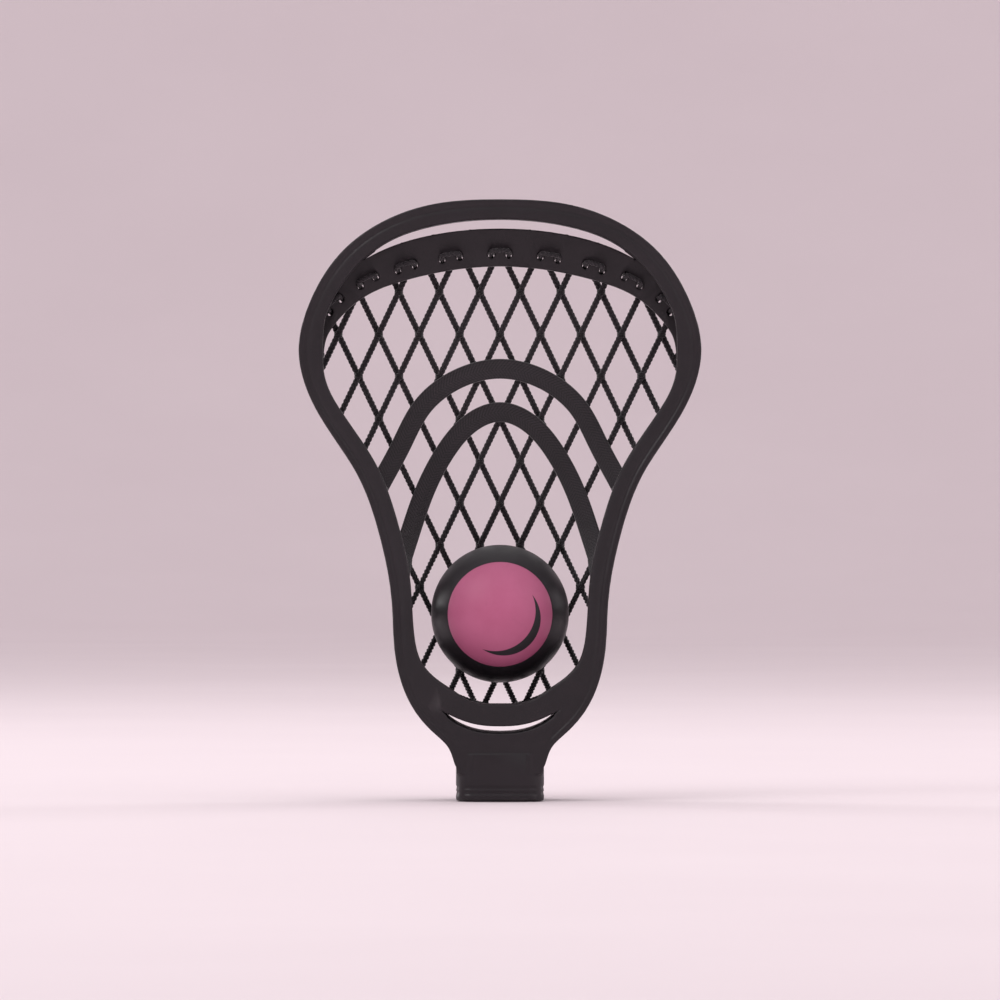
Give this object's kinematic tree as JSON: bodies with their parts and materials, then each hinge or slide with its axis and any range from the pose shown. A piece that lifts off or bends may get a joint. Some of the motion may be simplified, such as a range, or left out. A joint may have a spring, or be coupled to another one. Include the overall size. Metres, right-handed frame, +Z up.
{
  "type": "lacrosse stick head with ball",
  "caption": "Strung lacrosse stick head: flared scoop, tapering sidewalls, diamond mesh pocket with shooting strings, and a rubber ball resting in the pocket.",
  "frame": {"origin": "centre of the shaft socket's mouth", "axes": "+Z up the stick to the scoop, +X to the right seen from the front, +Y to the back, where the pocket hangs; the ball goes in from -Y"},
  "size_m": [0.1838, 0.0767, 0.274],
  "materials": {
    "head_plastic": "moulded nylon, satin",
    "foam_pad": "closed-cell foam",
    "screw_metal": "blackened steel",
    "string_cord": "braided nylon",
    "mesh_cord": "knitted nylon mesh",
    "lace_cloth": "flat woven lace",
    "ball_rubber": "solid rubber, pink faces inside a black band"
  },
  "bodies": {
    "head": {"head_frame": "head_plastic", "ball_stop_pad": "foam_pad", "sidewall_string_left": "string_cord", "sidewall_string_right": "string_cord", "top_string": "string_cord", "bottom_string": "string_cord", "pocket_mesh": "mesh_cord", "upper_shooting_string": "lace_cloth", "lower_shooting_string": "lace_cloth"},
    "ball": {"ball": "ball_rubber"},
    "throat_screw": {"throat_screw": "screw_metal"}
  },
  "joints": [
    {"name": "ball_roll", "type": "slide", "parent": "head", "child": "ball", "axis": [0, -0.3907, 0.9205], "range_m": [0, 0.25]},
    {"name": "screw_drive", "type": "slide", "parent": "head", "child": "throat_screw", "axis": [0, -1, 0], "range_m": [-0.014, 0.0045]}
  ]
}
